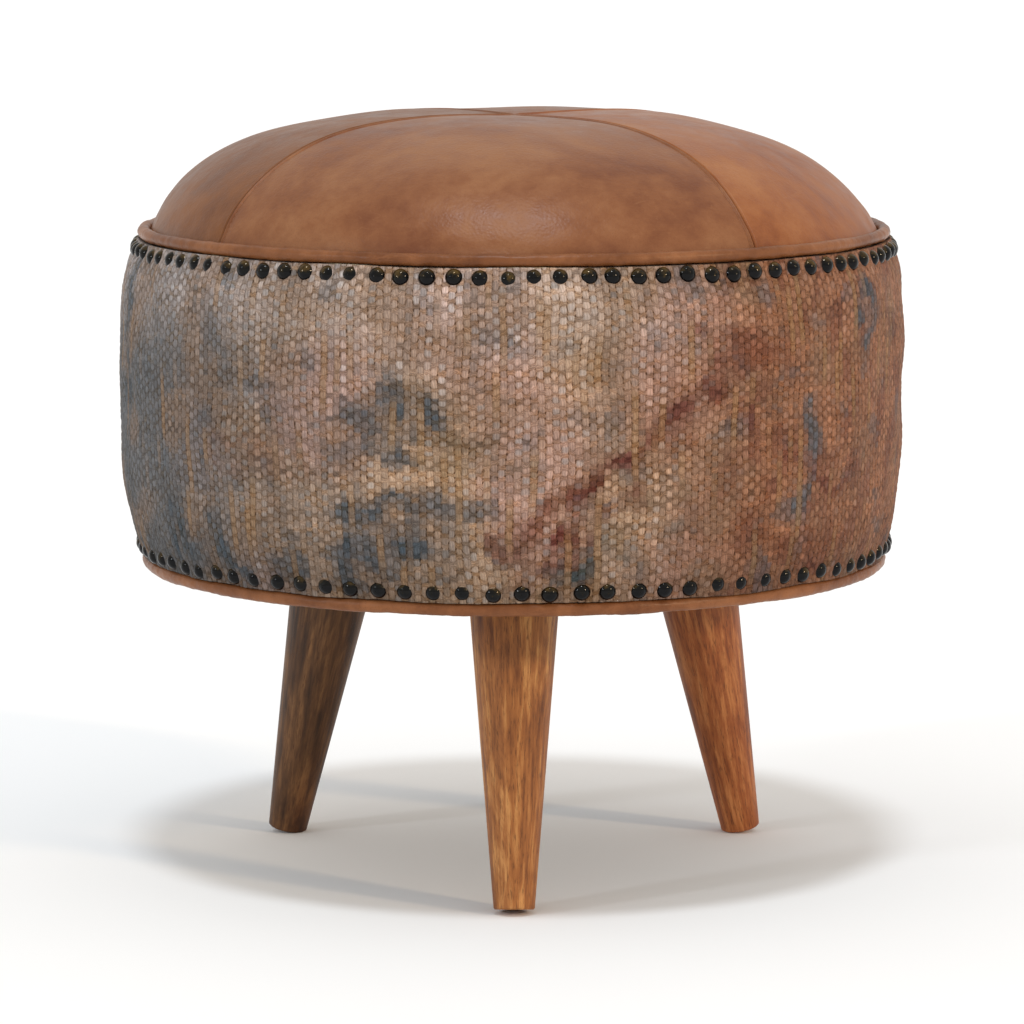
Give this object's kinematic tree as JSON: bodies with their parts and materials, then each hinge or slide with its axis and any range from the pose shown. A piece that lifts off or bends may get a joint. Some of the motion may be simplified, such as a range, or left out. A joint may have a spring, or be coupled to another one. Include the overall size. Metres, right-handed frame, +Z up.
{
  "type": "round upholstered footstool",
  "caption": "Round drum footstool with a domed leather seat, woven cloth side, piping and nail trim, on three splayed wooden legs.",
  "frame": {"origin": "on the floor, under the middle of the round seat", "axes": "+Z up, -Y towards the front leg, +X to the right as seen from the front"},
  "size_m": [0.45, 0.4498, 0.435],
  "materials": {
    "leg_wood": "satin",
    "seat_leather": "satin",
    "piping_leather": "satin",
    "rug_cloth": "matte",
    "nail_bronze": "aged",
    "plywood": "raw",
    "pine": "raw",
    "hardboard": "raw",
    "foam": "matte",
    "wadding": "matte",
    "cotton_cord": "matte",
    "zinc_steel": "satin",
    "black_steel": "satin",
    "base_cloth": "matte"
  },
  "bodies": {
    "root": {"leg_front": "leg_wood", "leg_right": "leg_wood", "leg_left": "leg_wood", "leg_bolts": "zinc_steel", "leg_plate_front": "black_steel", "leg_plate_right": "black_steel", "leg_plate_left": "black_steel", "plate_screws": "zinc_steel", "base_board": "plywood", "post_1": "pine", "post_2": "pine", "post_3": "pine", "post_4": "pine", "post_5": "pine", "post_6": "pine", "post_screws": "zinc_steel", "seat_board": "plywood", "side_panel": "hardboard", "panel_pins": "zinc_steel", "side_padding": "foam", "side_cover": "rug_cloth", "seat_foam": "foam", "seat_wadding": "wadding", "seat_panel_front": "seat_leather", "seat_panel_right": "seat_leather", "seat_panel_back": "seat_leather", "seat_panel_left": "seat_leather", "seat_staples": "zinc_steel", "top_piping": "piping_leather", "top_piping_cord": "cotton_cord", "bottom_piping": "piping_leather", "bottom_piping_cord": "cotton_cord", "top_nails": "nail_bronze", "bottom_nails": "nail_bronze", "dust_cover": "base_cloth", "dust_staples": "zinc_steel"}
  },
  "joints": []
}
